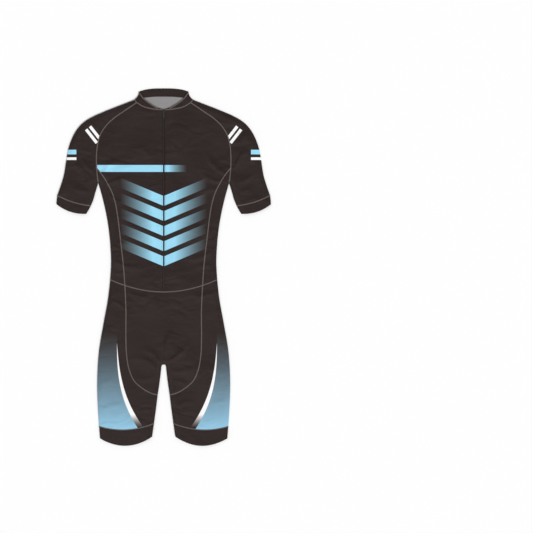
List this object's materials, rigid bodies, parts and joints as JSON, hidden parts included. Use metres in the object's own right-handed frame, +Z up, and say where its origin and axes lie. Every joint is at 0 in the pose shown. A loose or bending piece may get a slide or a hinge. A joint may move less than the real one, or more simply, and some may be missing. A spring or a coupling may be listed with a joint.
{
  "type": "inline skating suit",
  "caption": "Short-sleeved one-piece skating suit with short legs, a stand collar and a front zip, laid flat on its back.",
  "frame": {"origin": "on the surface that the suit lies on, below the middle of its laid outline", "axes": "+Y towards the collar, +X towards the wearer's left, +Z up, out of the suit's front"},
  "size_m": [0.6536, 1.0886, 0.0087],
  "materials": {
    "knit": "smooth stretch knit with a soft sheen",
    "front_knit": "smooth stretch knit, printed with light blue bands",
    "leg_knit": "smooth stretch knit, printed with a fade from black-brown to light blue",
    "band": "double knit, matte",
    "zip_tape": "woven tape",
    "zip_teeth": "nylon coil",
    "zip_metal": "dark plated metal"
  },
  "bodies": {
    "suit": {"back_upper": "knit", "back_lower": "knit", "seat_left": "knit", "seat_right": "knit", "front_lower": "knit", "side_panel_left": "knit", "side_panel_right": "knit", "sleeve_left": "knit", "sleeve_right": "knit", "front_left": "front_knit", "front_right": "front_knit", "leg_panel_left": "leg_knit", "leg_panel_right": "leg_knit", "collar": "band", "cuff_left": "band", "cuff_right": "band", "leg_band_left": "band", "leg_band_right": "band", "zip_tape_left": "zip_tape", "zip_tape_right": "zip_tape", "zip_chain": "zip_teeth", "zip_stop": "zip_metal", "zip_slider": "zip_metal"},
    "pull_tab": {"zip_pull": "zip_metal"}
  },
  "joints": [
    {"name": "pull_hinge", "type": "hinge", "parent": "suit", "child": "pull_tab", "pos_m": [0, 0.47105, 0.00705], "axis": [-1, 0, 0], "range_deg": [0, 170]}
  ]
}
